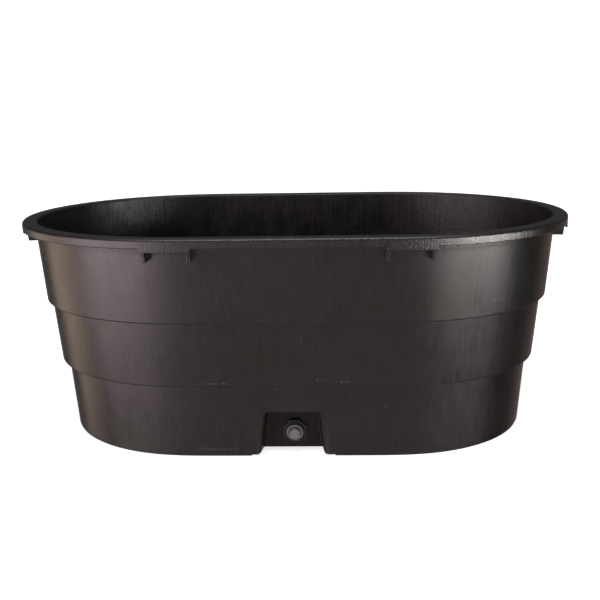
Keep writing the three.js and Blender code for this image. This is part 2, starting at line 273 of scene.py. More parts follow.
def tier_edge(tier, below):
    """The outside under a tier: the small fillet above the tier below, then the rounded edge."""
    z = tier[0][1]
    fillet = arc((below[1][0] + FILLET, z - FILLET), FILLET, 180, 90, 4)
    centre = (reach_at(tier, z + TIER_EDGE) - TIER_EDGE, z + TIER_EDGE)
    return fillet + arc(centre, TIER_EDGE, -90, 0, 6)


def inner_shelf(tier, below):
    """The shelf inside at the same place, from the top down."""
    z = tier[0][1] + WALL
    wall = reach_at(tier, z + FILLET) - WALL
    edge = reach_at(below, z - SHELF_EDGE) - WALL
    inner = arc((wall - FILLET, z + FILLET), FILLET, 0, -90, 4)
    return inner + arc((edge + SHELF_EDGE, z - SHELF_EDGE), SHELF_EDGE, 90, 180, 7)


def outer_section(drop):
    """The outside as (reach, z), from the middle of the underside round to the rim's top edge."""
    skirt_inside = reach_at(LOW_TIER, SKIRT_BOTTOM) - SKIRT_WIDTH
    skirt_edge = SKIRT_BOTTOM + SKIRT_EDGE
    underside = HEIGHT - FLANGE
    neck = reach_at(TOP_TIER, underside - FILLET)
    lip_inside = RIM_REACH - LIP
    lip_z = LIP_BOTTOM - drop + LIP_ROUND
    return [
        (skirt_inside - 0.002, FLOOR_UNDERSIDE),
        (skirt_inside, SKIRT_BOTTOM),
        *arc((reach_at(LOW_TIER, skirt_edge) - SKIRT_EDGE, skirt_edge), SKIRT_EDGE, -90, 0, 6),
        *tier_edge(MID_TIER, LOW_TIER),
        *tier_edge(TOP_TIER, MID_TIER),
        *arc((neck + FILLET, underside - FILLET), FILLET, 180, 90, 4),
        *arc((lip_inside - FILLET, underside - FILLET), FILLET, 90, 0, 4),
        *arc((lip_inside + LIP_ROUND, lip_z), LIP_ROUND, 180, 270, 4),
        *arc((RIM_REACH - LIP_ROUND, lip_z), LIP_ROUND, -90, 0, 4),
        *arc((RIM_REACH - RIM_EDGE, HEIGHT - RIM_EDGE), RIM_EDGE, 0, 90, 8),
    ]


def inner_section():
    """The inside as (reach, z), from the rim's inner edge down to the middle of the floor."""
    inner = reach_at(TOP_TIER, HEIGHT - FLANGE - FILLET) - WALL
    basin_edge = FLOOR_TOP + BASIN_FLOOR_EDGE
    basin_foot = reach_at(LOW_TIER, basin_edge) - WALL
    return [
        *arc((inner + RIM_INNER_EDGE, HEIGHT - RIM_INNER_EDGE), RIM_INNER_EDGE, 90, 180, 7),
        *inner_shelf(TOP_TIER, MID_TIER),
        *inner_shelf(MID_TIER, LOW_TIER),
        *arc((basin_foot - BASIN_FLOOR_EDGE, basin_edge), BASIN_FLOOR_EDGE, 0, -90, 8),
    ]


def tank_walls():
    """The plain tank, its outside in the first material slot and its inside in the second."""
    columns = outline_columns()
    sections = [outer_section(lip_drop(column)) + inner_section() for column in columns]
    loops = []
    for row in range(len(sections[0])):
        loops.append([
            (*place(column, section[row][0]), section[row][1])
            for column, section in zip(columns, sections)
        ])
    tank = skin("tank", loops)
    inner_rows = len(inner_section())
    for face in tank.data.polygons:
        in_basin = min(face.vertices) >= (len(loops) - inner_rows) * len(columns)
        face.material_index = 1 if in_basin else 0
    return tank


def front_y(z):
    """The front wall's face at a height, extended below the floor."""
    return -reach_at(LOW_TIER, z)


def skirt_corner(z):
    """How far the recess opens out at its foot, where the skirt's corners are rounded."""
    above = z - SKIRT_BOTTOM
    if above >= SKIRT_CORNER:
        return 0.0
    short = SKIRT_CORNER - max(above, 0.0)
    return SKIRT_CORNER - math.sqrt(SKIRT_CORNER ** 2 - short ** 2)


def recess_side(side, depth, growth, bottom, corner):
    """One side of the recess's outline at a depth, from its foot up to the middle of its top."""
    (mouth, mouth_taper), (back, back_taper) = side

    def half_at(z):
        y = front_y(z) * (1 - depth) + RECESS_BACK_Y * depth
        share = (y - RECESS_MOUTH_Y) / (RECESS_BACK_Y - RECESS_MOUTH_Y)
        half = (mouth - mouth_taper * z) * (1 - share) + (back - back_taper * z) * share
        return half + growth + skirt_corner(z) * max(0.0, 1 - 2 * depth)

    top = RECESS_TOP + growth
    foot_steps = [bottom, 0.0, *(SKIRT_BOTTOM + SKIRT_CORNER * i / 6 for i in range(7))]
    heights = [z for z in foot_steps if z > bottom - 1e-6]
    heights += [heights[-1] + (top - corner - heights[-1]) * i / 6 for i in range(1, 6)]
    points = [(half_at(z), z) for z in heights]
    return points + arc((half_at(top - corner) - corner, top - corner), corner, 0, 90, 8)


def recess_loop(depth, growth, bottom, corner, push=0.0):
    """Outline of the drain recess at a depth from 0, the front wall, to 1, its back."""
    right = recess_side(RECESS_RIGHT, depth, growth, bottom, corner)
    left = recess_side(RECESS_LEFT, depth, growth, bottom, corner)
    outline = right + [(-x, z) for x, z in reversed(left)]
    return [
        (x, front_y(z) * (1 - depth) + RECESS_BACK_Y * depth + push, z) for x, z in outline
    ]


def recess_cutter():
    """The hollow of the recess, its mouth and its inner corners rounded."""
    bottom = -0.02
    steps = 6
    loops = [recess_loop(0, RECESS_FLARE, bottom, RECESS_CORNER + RECESS_FLARE, -0.03)]
    for i in range(steps + 1):
        angle = math.pi / 2 * i / steps
        growth = RECESS_FLARE * (1 - math.sin(angle))
        push = RECESS_FLARE * (1 - math.cos(angle))
        loops.append(recess_loop(0, growth, bottom, RECESS_CORNER + growth, push))
    for i in range(steps + 1):
        angle = math.pi / 2 * i / steps
        growth = -RECESS_INNER_ROUND * (1 - math.cos(angle))
        depth = 1 - RECESS_INNER_ROUND * (1 - math.sin(angle)) / RECESS_DEPTH
        loops.append(recess_loop(depth, growth, bottom, RECESS_CORNER + growth))
    return skin("recess_cutter", loops)


def recess_housing():
    """The box of wall round the recess, inside the tank."""
    corner = RECESS_CORNER + WALL
    edge = 0.009
    steps = 6
    loops = [recess_loop(0, WALL, FLOOR_UNDERSIDE + 0.001, corner, WALL / 2)]
    for i in range(steps + 1):
        angle = math.pi / 2 * i / steps
        growth = WALL - edge * (1 - math.cos(angle))
        push = WALL - edge * (1 - math.sin(angle))
        loops.append(recess_loop(1, growth, FLOOR_UNDERSIDE + 0.001, corner, push))
    housing = skin("recess_housing", loops)
    for face in housing.data.polygons:
        face.material_index = 1
    return housing


def gusset_plate(anchor, normal, drop, bottom):
    """A gusset under the rim at a point of the rim's outline, square to the outline."""
    root = reach_at(TOP_TIER, bottom) - RIM_REACH - WALL / 2
    shoulder = LIP_BOTTOM - drop + 0.002
    outline = [
        (root, bottom), (-GUSSET_INSET - 0.003, bottom), (-GUSSET_INSET, shoulder),
        (-LIP / 2, shoulder), (-LIP / 2, HEIGHT - FLANGE / 2), (root, HEIGHT - FLANGE / 2),
    ]
    along = Vector((-normal.y, normal.x, 0))
    loops = []
    for side in (-0.5, 0.5):
        offset = along * (side * GUSSET)
        loops.append([
            tuple(anchor + normal * out + offset + Vector((0, 0, z))) for out, z in outline
        ])
    plate = skin("gusset", loops)
    bevel = plate.modifiers.new("edges", "BEVEL")
    bevel.width = GUSSET_BEVEL
    bevel.segments = 3
    bake_modifiers(plate)
    return plate


def end_gusset(end, side, angle, drop, bottom):
    long_axis = RIM_REACH + END_LONGER
    x = STRAIGHT_HALF + long_axis * math.cos(angle)
    y = RIM_REACH * math.sin(angle)
    normal = Vector((math.cos(angle) / long_axis, math.sin(angle) / RIM_REACH, 0)).normalized()
    anchor = Vector((end * x, side * y, 0))
    return gusset_plate(anchor, Vector((end * normal.x, side * normal.y, 0)), drop, bottom)


def gussets():
    near, far = SIDE_GUSSETS
    far_angle = math.acos((far - STRAIGHT_HALF) / (RIM_REACH + END_LONGER))
    end_angle = math.asin(END_GUSSET_OFFSET / RIM_REACH)
    plates = []
    for end in (-1, 1):
        for side in (-1, 1):
            anchor = Vector((end * near, side * RIM_REACH, 0))
            plates.append(gusset_plate(anchor, Vector((0, side, 0)), SIDE_DROP, SIDE_GUSSET_BOTTOM))
            plates.append(end_gusset(end, side, far_angle, SIDE_DROP, SIDE_GUSSET_BOTTOM))
            plates.append(end_gusset(end, side, end_angle, END_DROP, END_GUSSET_BOTTOM))
    return plates


def foot_ring():
    """The foot under the wall, broken at the drain recess."""
    outer = reach_at(LOW_TIER, SKIRT_BOTTOM) - FOOT_INSET
    inner = outer - FOOT_WIDTH
    top = SKIRT_BOTTOM + 0.002
    section = [(inner, top), (inner, 0.001), (inner + 0.001, 0)]
    section += [(outer - 0.001, 0), (outer - 0.0003, 0.0003), (outer, 0.001), (outer, top)]
    columns = [
        column for column in outline_columns()
        if not (column[:2] == ("side", -1) and abs(column[2]) < FOOT_GAP + 0.008)
    ]
    split = next(
        i for i, column in enumerate(columns) if column[:2] == ("side", -1) and column[2] > 0
    )
    run = columns[split:] + columns[:split]
    ends = [
        [(sign * (FOOT_GAP + top - z), -reach, z) for reach, z in section] for sign in (1, -1)
    ]
    loops = [[(*place(column, reach), z) for reach, z in section] for column in run]
    return skin("foot", [ends[0], *loops, ends[1]])


def drain_hole():
    loops = []
    for y in (RECESS_BACK_Y - 0.02, RECESS_BACK_Y + 0.02):
        loops.append([
            (DRAIN_X + HOLE_RADIUS * math.cos(a), y, DRAIN_Z + HOLE_RADIUS * math.sin(a))
            for a in (2 * math.pi * i / 64 for i in range(64))
        ])
    return skin("drain_hole", loops)


def build_tank():
    """The whole moulding; its material slots are the outside, the inside and the recess, the last a
    duller copy of the outside that paints shade into the recess.
    """
    tank = tank_walls()
    housing, cutter = recess_housing(), recess_cutter()
    # The third slot is the outside plastic with a lower specular level: painted shade for the recess,
    # not a different finish.
    tank_materials = [
        tank_outside_material("tank_outside", 0.5), tank_inside_material(),
        tank_outside_material("tank_recess_painted_shade", 0.2),
    ]
    for thing in (tank, housing, cutter):
        for material in tank_materials:
            thing.data.materials.append(material)
    # Faces deep in the recess take the duller copy, painted shade where the recess is shielded from
    # the light.
    for face in cutter.data.polygons:
        if face.center.y > RECESS_MOUTH_Y + RECESS_SHADE_DEPTH:
            face.material_index = 2
    boolean(tank, housing, "UNION")
    boolean(tank, cutter, "DIFFERENCE")
    boolean(tank, drain_hole(), "DIFFERENCE")
    join(tank, [*gussets(), foot_ring()])
    smooth(tank)
    return tank


# ---- The drain fitting ------------------------------------------------------------------

ROUND_STEPS = 96


def revolve(name, profile):
    """A turned piece round the drain axis: profile(angle) gives (radius, y) points in a ring."""
    loops = []
    for i in range(ROUND_STEPS):
        angle = 2 * math.pi * i / ROUND_STEPS
        loops.append([
            (DRAIN_X + radius * math.sin(angle), y, DRAIN_Z + radius * math.cos(angle))
            for radius, y in profile(angle)
        ])
    return skin(name, loops, joined=True)


def thread(angle, start, end, crest, depth):
    """A right-hand thread's side at one angle round the axis, as (radius, y) from start to end."""
    rows = max(2, round(abs(end - start) / THREAD_PITCH * 9))
    points = []
    for i in range(rows + 1):
        y = start + (end - start) * i / rows
        turn = (y / THREAD_PITCH - angle / (2 * math.pi)) % 1
        flank = min(1.0, max(0.0, (abs(2 * turn - 1) - 0.15) / 0.65))
        runout = min(1.0, abs(y - start) / THREAD_PITCH, abs(y - end) / THREAD_PITCH)
        points.append((crest + depth * flank * runout, y))
    return points


def flat_ring(name, node, inner, edge):
    """A flat ring with rounded edges, filling its CAD node's box outside a bore."""
    low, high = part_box(node)
    outer = (high.x - low.x) / 2

    def profile(angle):
        return [
            *arc((inner + edge, low.y + edge), edge, 180, 270, 3),
            *arc((outer - edge, low.y + edge), edge, 270, 360, 3),
            *arc((outer - edge, high.y - edge), edge, 0, 90, 3),
            *arc((inner + edge, high.y - edge), edge, 90, 180, 3),
        ]

    return revolve(name, profile)


def bulkhead():
    """The threaded barrel through the wall, with its round head inside the tank."""
    low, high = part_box("bulkhead_body")
    head_radius = (high.x - low.x) / 2
    head_back = high.y - 0.006
    edge = 0.0018
    chamfer = 0.0008

    def profile(angle):
        return [
            (BORE_RADIUS + chamfer, low.y),
            (BARREL_RADIUS - chamfer, low.y),
            *thread(angle, low.y + chamfer, low.y + 0.016, BARREL_RADIUS, -0.8 * THREAD_DEPTH),
            (BARREL_RADIUS, head_back),
            (head_radius - 0.0006, head_back),
            (head_radius, head_back + 0.0006),
            *arc((head_radius - edge, high.y - edge), edge, 0, 90, 5),
            (BORE_RADIUS + 0.009, high.y),
            (BORE_RADIUS + 0.008, high.y - 0.0008),
            (BORE_RADIUS + 0.004, high.y - 0.0008),
            (BORE_RADIUS + 0.003, high.y),
            *arc((BORE_RADIUS + edge, high.y - edge), edge, 90, 180, 5),
            *thread(angle, high.y - 0.004, low.y + chamfer, BORE_RADIUS, THREAD_DEPTH),
        ]

    return revolve("drain_bulkhead", profile)


def rounded_polygon(sides, across_flats, corner, turn, corner_steps=5, flat_steps=3):
    """A polygon's outline with rounded corners, as (x, z) offsets from the drain axis."""
    inner_radius = across_flats / 2 - corner
    points = []
    for i in range(sides):
        middle = turn + 2 * math.pi * i / sides
        reach = inner_radius / math.cos(math.pi / sides)
        hub = Vector((reach * math.sin(middle), reach * math.cos(middle)))
        for j in range(corner_steps + 1):
            angle = middle + math.pi / sides * (2 * j / corner_steps - 1)
            points.append(hub + corner * Vector((math.sin(angle), math.cos(angle))))
        following = middle + 2 * math.pi / sides
        hub = Vector((reach * math.sin(following), reach * math.cos(following)))
        start = points[-1]
        angle = following - math.pi / sides
        end = hub + corner * Vector((math.sin(angle), math.cos(angle)))
        points += [start.lerp(end, (j + 1) / (flat_steps + 1)) for j in range(flat_steps)]
    return points


def polygon_loop(outline, y):
    return [(DRAIN_X + x, y, DRAIN_Z + z) for x, z in outline]


def lock_nut():
    """An octagonal nut, a flat on top, chamfered at the front and round its bore."""
    low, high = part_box("lock_nut")
    bore = BARREL_RADIUS + 0.0003
    corner = 0.0022

    def loop(flats, y):
        return polygon_loop(rounded_polygon(8, flats, corner, math.pi / 8), y)

    def bore_loop(radius, y):
        ring = rounded_polygon(8, NUT_ACROSS_FLATS, corner, math.pi / 8)
        return polygon_loop([radius * point.normalized() for point in ring], y)

    chamfer = 0.0022
    loops = [
        bore_loop(bore, high.y),
        loop(NUT_ACROSS_FLATS - 0.001, high.y),
        loop(NUT_ACROSS_FLATS, high.y - 0.0006),
        loop(NUT_ACROSS_FLATS, low.y + chamfer + 0.0006),
        loop(NUT_ACROSS_FLATS - 0.0004, low.y + chamfer),
        loop(NUT_ACROSS_FLATS - 2 * chamfer + 0.0008, low.y + 0.0004),
        loop(NUT_ACROSS_FLATS - 2 * chamfer - 0.0006, low.y),
        bore_loop(bore + 0.0016, low.y),
        bore_loop(bore + 0.0012, low.y + 0.0003),
        bore_loop(bore, low.y + 0.0016),
    ]
    return skin("drain_nut", loops, joined=True)


def plug_body():
    """The plug's threaded shank, hollow from behind, its collar and the dish in its front."""
    low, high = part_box("drain_plug")
    collar_back = high.y - COLLAR_SETBACK
    collar_front = collar_back - 0.0056
    collar_radius = (high.x - low.x) / 2
    dish = 0.0178
    dish_floor = collar_back - DISH_SETBACK
    dish_fillet = 0.0014
    edge = 0.0014
    core = 0.015

    def profile(angle):
        return [
            (PLUG_AXIS_HOLE, dish_floor),
            (dish - 0.0020, dish_floor),
            *arc((dish - 0.0020, dish_floor - dish_fillet), dish_fillet, 90, 0, 3),
            *arc((dish + 0.0002 + edge / 2, collar_front + edge / 2), edge / 2, 180, 270, 4),
            *arc((collar_radius - edge, collar_front + edge), edge, 270, 360, 6),
            (collar_radius, collar_back - 0.0006),
            (collar_radius - 0.0006, collar_back),
            (SHANK_RADIUS, collar_back),
            *thread(angle, collar_back + 0.0012, high.y - 0.0012, SHANK_RADIUS, -THREAD_DEPTH),
            (SHANK_RADIUS - 0.0014, high.y),
            (core, high.y),
            (core - 0.0005, collar_back + 0.006),
            (core - 0.0015, collar_back + 0.005),
            (PLUG_AXIS_HOLE, collar_back + 0.005),
        ]

    return revolve("drain_plug_piece", profile)


def plug_hexagon():
    """The hexagon that a wrench takes, a corner upwards, with a filleted foot in the dish."""
    low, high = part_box("drain_plug")
    foot = high.y - COLLAR_SETBACK - DISH_SETBACK
    corner = 0.0011
    crown = 0.0009

    def loop(flats, y):
        return polygon_loop(rounded_polygon(6, flats, corner, 0), y)

    return skin("plug_hexagon", [
        loop(HEX_ACROSS_FLATS + 0.0020, foot + 0.0010),
        loop(HEX_ACROSS_FLATS + 0.0020, foot),
        loop(HEX_ACROSS_FLATS + 0.0006, foot - 0.0006),
        loop(HEX_ACROSS_FLATS, foot - 0.0020),
        loop(HEX_ACROSS_FLATS - 0.0004, low.y + crown),
        loop(HEX_ACROSS_FLATS - 0.0008, low.y + 0.4 * crown),
        loop(HEX_ACROSS_FLATS - 0.0020, low.y + 0.08 * crown),
        loop(HEX_ACROSS_FLATS - 0.0034, low.y),
    ])


# ---- Materials --------------------------------------------------------------------------

class Graph:
    """A material's node tree, with short ways to add and link nodes."""

    def __init__(self, name, roughness, specular):
        self.material = bpy.data.materials.new(name)
        self.material.use_nodes = True
        self.tree = self.material.node_tree
        self.shader = self.tree.nodes["Principled BSDF"]
        self.shader.inputs["Roughness"].default_value = roughness
        self.shader.inputs["Specular IOR Level"].default_value = specular
        self.place = self.node("ShaderNodeTexCoord").outputs["Object"]

    def node(self, kind, **settings):
        made = self.tree.nodes.new(kind)
        for key, value in settings.items():
            setattr(made, key, value)
        return made

    def feed(self, socket, value):
        if isinstance(value, bpy.types.NodeSocket):
            self.tree.links.new(value, socket)
        else:
            socket.default_value = value

    def maths(self, operation, first, second=0.0):
        made = self.node("ShaderNodeMath", operation=operation)
        self.feed(made.inputs[0], first)
        self.feed(made.inputs[1], second)
        return made.outputs[0]

    def noise(self, scale, stretch=(1, 1, 1), detail=3.0, roughness=0.55):
        """Noise in the part's own metres, of a scale in features per metre."""
        mapping = self.node("ShaderNodeMapping")
        self.feed(mapping.inputs["Vector"], self.place)
        mapping.inputs["Scale"].default_value = stretch
        made = self.node("ShaderNodeTexNoise")
        self.feed(made.inputs["Vector"], mapping.outputs[0])
        made.inputs["Scale"].default_value = scale
        made.inputs["Detail"].default_value = detail
        made.inputs["Roughness"].default_value = roughness
        return made.outputs["Fac"]

    def ramp(self, value, low, high, to_low=0.0, to_high=1.0):
        """A value's range taken smoothly to another range, clamped."""
        made = self.node("ShaderNodeMapRange", interpolation_type="SMOOTHSTEP")
        self.feed(made.inputs["Value"], value)
        made.inputs["From Min"].default_value = low
        made.inputs["From Max"].default_value = high
        made.inputs["To Min"].default_value = to_low
        made.inputs["To Max"].default_value = to_high
        return made.outputs["Result"]

    def mix(self, share, first, second):
        """Two colours mixed. The colour sockets come after the number and vector ones."""
        made = self.node("ShaderNodeMix", data_type="RGBA")
        self.feed(made.inputs["Factor"], share)
        self.feed(made.inputs[6], (*first, 1) if isinstance(first, tuple) else first)
        self.feed(made.inputs[7], (*second, 1) if isinstance(second, tuple) else second)
        return made.outputs[2]

    def axis(self, name):
        made = self.node("ShaderNodeSeparateXYZ")
        self.feed(made.inputs[0], self.place)
        return made.outputs[name]

    def edges(self, low=0.52, high=0.60):
        """1 on the outer edges of the mesh and 0 elsewhere."""
        return self.ramp(self.node("ShaderNodeNewGeometry").outputs["Pointiness"], low, high)

    def bump(self, height, distance, under=None):
        """A relief of a depth in metres, over another bump if one is given."""
        made = self.node("ShaderNodeBump")
        self.feed(made.inputs["Height"], height)
        made.inputs["Distance"].default_value = distance
        if under is not None:
            self.feed(made.inputs["Normal"], under)
        return made.outputs["Normal"]

    def finish(self, colour, roughness, normal):
        self.feed(self.shader.inputs["Base Color"], colour)
        self.feed(self.shader.inputs["Roughness"], roughness)
        self.feed(self.shader.inputs["Normal"], normal)
        return self.material


GREY_WEAR = (0.034, 0.030, 0.028)

# Scuffs on the front of the tank: the middle (x, z) of each and half its length and height.
SCUFFS = [
    (-0.213, 0.0225, 0.075, 0.0045),
    (-0.213, 0.2270, 0.060, 0.0030),
    (0.085, 0.2365, 0.032, 0.0030),
    (0.135, 0.2310, 0.030, 0.0030),
    (0.251, 0.1510, 0.016, 0.0050),
    (0.550, 0.4440, 0.034, 0.0040),
]


def scuff_mask(graph):
    """Broken pale rubs in the places of SCUFFS, on the front only."""
    x, z = graph.axis("X"), graph.axis("Z")
    reach = None
    for middle_x, middle_z, half_length, half_height in SCUFFS:
        across = graph.maths("DIVIDE", graph.maths("SUBTRACT", x, middle_x), half_length)
        up = graph.maths("DIVIDE", graph.maths("SUBTRACT", z, middle_z), half_height)
        distance = graph.maths(
            "ADD", graph.maths("MULTIPLY", across, across), graph.maths("MULTIPLY", up, up)
        )
        near = graph.ramp(distance, 1.0, 0.2)
        reach = near if reach is None else graph.maths("MAXIMUM", reach, near)
    front = graph.ramp(graph.axis("Y"), -0.2, -0.25)
    flecks = graph.ramp(graph.noise(200, (1, 1, 2.2), 2.0, 0.6), 0.54, 0.66)
    return graph.maths("MULTIPLY", graph.maths("MULTIPLY", reach, flecks), front)


def tank_outside_material(name, specular):
    """Satin brown-black plastic: fine upright drag lines, soft mottling, grained rim, scuffs."""
    graph = Graph(name, 0.34, specular)
    z = graph.axis("Z")
    rim = graph.ramp(z, 0.597, 0.608)
    streaks = graph.noise(140, (1, 1, 0.05), 1.5, 0.5)
    fine = graph.noise(230, (1, 1, 0.05), 0.0)
    clouds = graph.noise(5.5, (1, 1, 1.4), 3.0)
    hue = graph.noise(3.2, (1, 1, 1.2), 2.0)
    blotches = graph.noise(34, (1, 1, 0.5), 2.0, 0.55)
    grain = graph.noise(260, detail=1.5)
    greenish, purplish = (0.0084, 0.0078, 0.0058), (0.0092, 0.0064, 0.0078)
    base = graph.mix(graph.ramp(hue, 0.38, 0.62), greenish, purplish)
    base = graph.mix(graph.ramp(streaks, 0.35, 0.75, 0.0, 0.4), base, (0.0130, 0.0106, 0.0102))
    base = graph.mix(graph.ramp(blotches, 0.45, 0.8, 0.0, 0.3), base, (0.0150, 0.0126, 0.0120))
    scratches = graph.ramp(graph.noise(210, (1, 1, 0.02), 0.0), 0.78, 0.88, 0.0, 0.3)
    base = graph.mix(scratches, base, (0.055, 0.050, 0.047))
    worn = graph.maths("MULTIPLY", graph.edges(), graph.ramp(grain, 0.35, 0.7, 0.2, 0.8))
    base = graph.mix(worn, base, GREY_WEAR)
    rubbed = graph.maths("MULTIPLY", rim, graph.ramp(grain, 0.55, 0.75, 0.0, 0.4))
    base = graph.mix(rubbed, base, GREY_WEAR)
    base = graph.mix(scuff_mask(graph), base, (0.15, 0.136, 0.126))
    specks = graph.ramp(graph.noise(150, detail=1.0), 0.79, 0.83)
    base = graph.mix(specks, base, (0.10, 0.09, 0.085))
    roughness = graph.maths(
        "ADD", graph.ramp(streaks, 0.3, 0.7, 0.275, 0.325), graph.ramp(clouds, 0.3, 0.7, -0.03, 0.04)
    )
    roughness = graph.maths("ADD", roughness, graph.ramp(blotches, 0.3, 0.75, -0.008, 0.012))
    drag = graph.bump(graph.maths("ADD", streaks, graph.maths("MULTIPLY", fine, 0.8)), 0.00008)
    pebble_height = graph.maths("MULTIPLY", grain, graph.ramp(z, 0.585, 0.608, 0.1, 1.0))
    return graph.finish(base, roughness, graph.bump(pebble_height, 0.0008, under=drag))


def tank_inside_material():
    """The basin's face: a cooler black, mottled, with painted light making it paler at the ends, and
    dusty on the floor.
    """
    graph = Graph("tank_inside", 0.42, 0.4)
    streaks = graph.noise(110, (1, 1, 0.06), 2.0, 0.6)
    patches = graph.noise(24, (1, 1, 0.6), 2.5, 0.6)
    grain = graph.noise(200, detail=1.5)
    dark, pale = (0.0030, 0.0024, 0.0048), (0.0062, 0.0044, 0.0078)
    base = graph.mix(graph.ramp(patches, 0.35, 0.7), dark, pale)
    base = graph.mix(graph.ramp(streaks, 0.45, 0.75, 0.0, 0.6), base, (0.0120, 0.0098, 0.0124))
    # Paler towards the ends: painted light standing in for light bounced into the basin's ends.
    ends = graph.ramp(graph.maths("ABSOLUTE", graph.axis("X")), 0.40, 0.70, 0.0, 0.5)
    base = graph.mix(ends, base, (0.0150, 0.0125, 0.0168))
    floor_dust = graph.ramp(graph.axis("Z"), 0.10, 0.02, 0.0, 0.35)
    base = graph.mix(graph.maths("MULTIPLY", floor_dust, patches), base, (0.05, 0.046, 0.042))
    roughness = graph.ramp(patches, 0.3, 0.7, 0.33, 0.44)
    height = graph.maths("ADD", grain, graph.maths("MULTIPLY", streaks, 1.2))
    return graph.finish(base, roughness, graph.bump(height, 0.0008))


def moulded_material(name, colour, pale, roughness, specular, grain_scale):
    """Small moulded pieces: faint mottling, fine grain, and paler, smoother edges."""
    graph = Graph(name, roughness, specular)
    clouds = graph.noise(70, detail=3.0)
    grain = graph.noise(grain_scale, detail=2.0)
    darker = tuple(0.82 * value for value in colour)
    base = graph.mix(graph.ramp(clouds, 0.3, 0.7), darker, colour)
    worn = graph.maths("MULTIPLY", graph.edges(0.53, 0.66), graph.ramp(grain, 0.3, 0.7, 0.45, 1.0))
    base = graph.mix(worn, base, pale)
    varied = graph.ramp(grain, 0.3, 0.7, roughness - 0.05, roughness + 0.05)
    smoother_edges = graph.maths("ADD", varied, graph.maths("MULTIPLY", worn, -0.08))
    return graph.finish(base, smoother_edges, graph.bump(grain, 0.00012))


# ---- Camera, lights and floor -----------------------------------------------------------

CAMERA_PLACE = Vector((0.0938, -2.4632, 0.996))
CAMERA_YAW, CAMERA_PITCH, CAMERA_ROLL = 0.0315, 0.2528, -0.0168
CAMERA_LENS = 49.56
CAMERA_SENSOR = 36
CAMERA_SHIFT = (-0.0012, 0.0005)


def add_camera():
    data = bpy.data.cameras.new("camera")
    camera = bpy.data.objects.new("camera", data)
    bpy.context.scene.collection.objects.link(camera)
    forward = Vector((
        -math.sin(CAMERA_YAW) * math.cos(CAMERA_PITCH),
        math.cos(CAMERA_YAW) * math.cos(CAMERA_PITCH),
        -math.sin(CAMERA_PITCH),
    ))
    level = Vector((math.cos(CAMERA_YAW), math.sin(CAMERA_YAW), 0))
    upright = level.cross(forward)
    right = math.cos(CAMERA_ROLL) * level + math.sin(CAMERA_ROLL) * upright
    up = -math.sin(CAMERA_ROLL) * level + math.cos(CAMERA_ROLL) * upright
    turn = Matrix((right, up, -forward)).transposed().to_4x4()
    camera.matrix_world = Matrix.Translation(CAMERA_PLACE) @ turn
    data.sensor_width = CAMERA_SENSOR
    data.lens = CAMERA_LENS
    data.shift_x, data.shift_y = CAMERA_SHIFT
    bpy.context.scene.camera = camera


def add_light(name, spot, target, size, power):
    """A soft area light that doesn't show itself."""
    data = bpy.data.lights.new(name, "AREA")
    data.shape = "RECTANGLE"
    data.size, data.size_y = size
    data.energy = power
    light = bpy.data.objects.new(name, data)
    bpy.context.scene.collection.objects.link(light)
    light.location = spot
    light.rotation_euler = (Vector(target) - Vector(spot)).to_track_quat("-Z", "Y").to_euler()
    light.visible_camera = False


def add_floor():
    """A pale round floor and its low wall. Glossy plastic mirrors the studio, not these."""
    mesh = bmesh.new()
    turns = [math.tau * i / FLOOR_SIDES for i in range(FLOOR_SIDES)]
    ring = [(FLOOR_RADIUS * math.cos(turn), FLOOR_RADIUS * math.sin(turn)) for turn in turns]
    feet = [mesh.verts.new((x, y, 0)) for x, y in ring]
    tops = [mesh.verts.new((x, y, FLOOR_WALL)) for x, y in ring]
    mesh.faces.new(feet)
    for i in range(FLOOR_SIDES):
        j = (i + 1) % FLOOR_SIDES
        mesh.faces.new([feet[i], tops[i], tops[j], feet[j]])
    floor = new_object("floor", mesh)
    graph = Graph("pale_floor", 0.7, 0.2)
    graph.shader.inputs["Emission Color"].default_value = (1, 1, 1, 1)
    graph.shader.inputs["Emission Strength"].default_value = FLOOR_GLOW
    mottling = graph.noise(9, detail=3.0)
    colour = graph.mix(graph.ramp(mottling, 0.3, 0.7), (0.86, 0.86, 0.86), (0.88, 0.88, 0.88))
    roughness = graph.ramp(mottling, 0.3, 0.7, 0.65, 0.75)
    floor.data.materials.append(graph.finish(colour, roughness, graph.bump(mottling, 0.0001)))
    floor.visible_glossy = False


# The studio's soft panels: azimuth from -Y towards +X, half width and softness, lowest and
# highest elevation with their softness, all in degrees, then brightness and colour.
PANELS = [
    (0, 66, 26, -90, 1, -2, 1, 0.38, (1.0, 0.84, 0.85)),  # the ground in front
    (0, 34, 30, -1, 2, 5, 3, 0.60, (1.0, 0.92, 1.0)),  # over the rim, for the basin
    (180, 22, 16, -90, 1, -3, 2, 0.30, (1.0, 0.88, 0.88)),  # the ground behind
    (-51, 14, 26, -17, 11, 16, 8, 5.0, (1.0, 0.80, 0.84)),  # wide, on the left
    (-103, 11, 9, -14, 20, -1, 9, 2.1, (1.0, 0.76, 0.60)),  # warm, far left
    (52, 14, 18, -11, 7, 4, 3, 19.5, (1.0, 0.95, 0.92)),  # bright, on the right
    (138, 10, 9, -50, 5, -3, 2, 0.17, (1.0, 0.60, 0.50)),  # warm rim light
    (-158, 8, 8, -50, 5, -3, 2, 0.20, (0.50, 0.70, 1.0)),  # cool rim light
    (0, 180, 10, 64, 8, 90, 5, 1.7, (1.0, 0.98, 0.97)),  # straight overhead
]
FLOOR_GLOW = 0.75
FLOOR_RADIUS = 90.0
FLOOR_WALL = 13.0
FLOOR_SIDES = 48
STUDIO_BELOW = 0.06
OVERHEAD = 0.10
OVERHEAD_FROM, OVERHEAD_TO = -4, 30


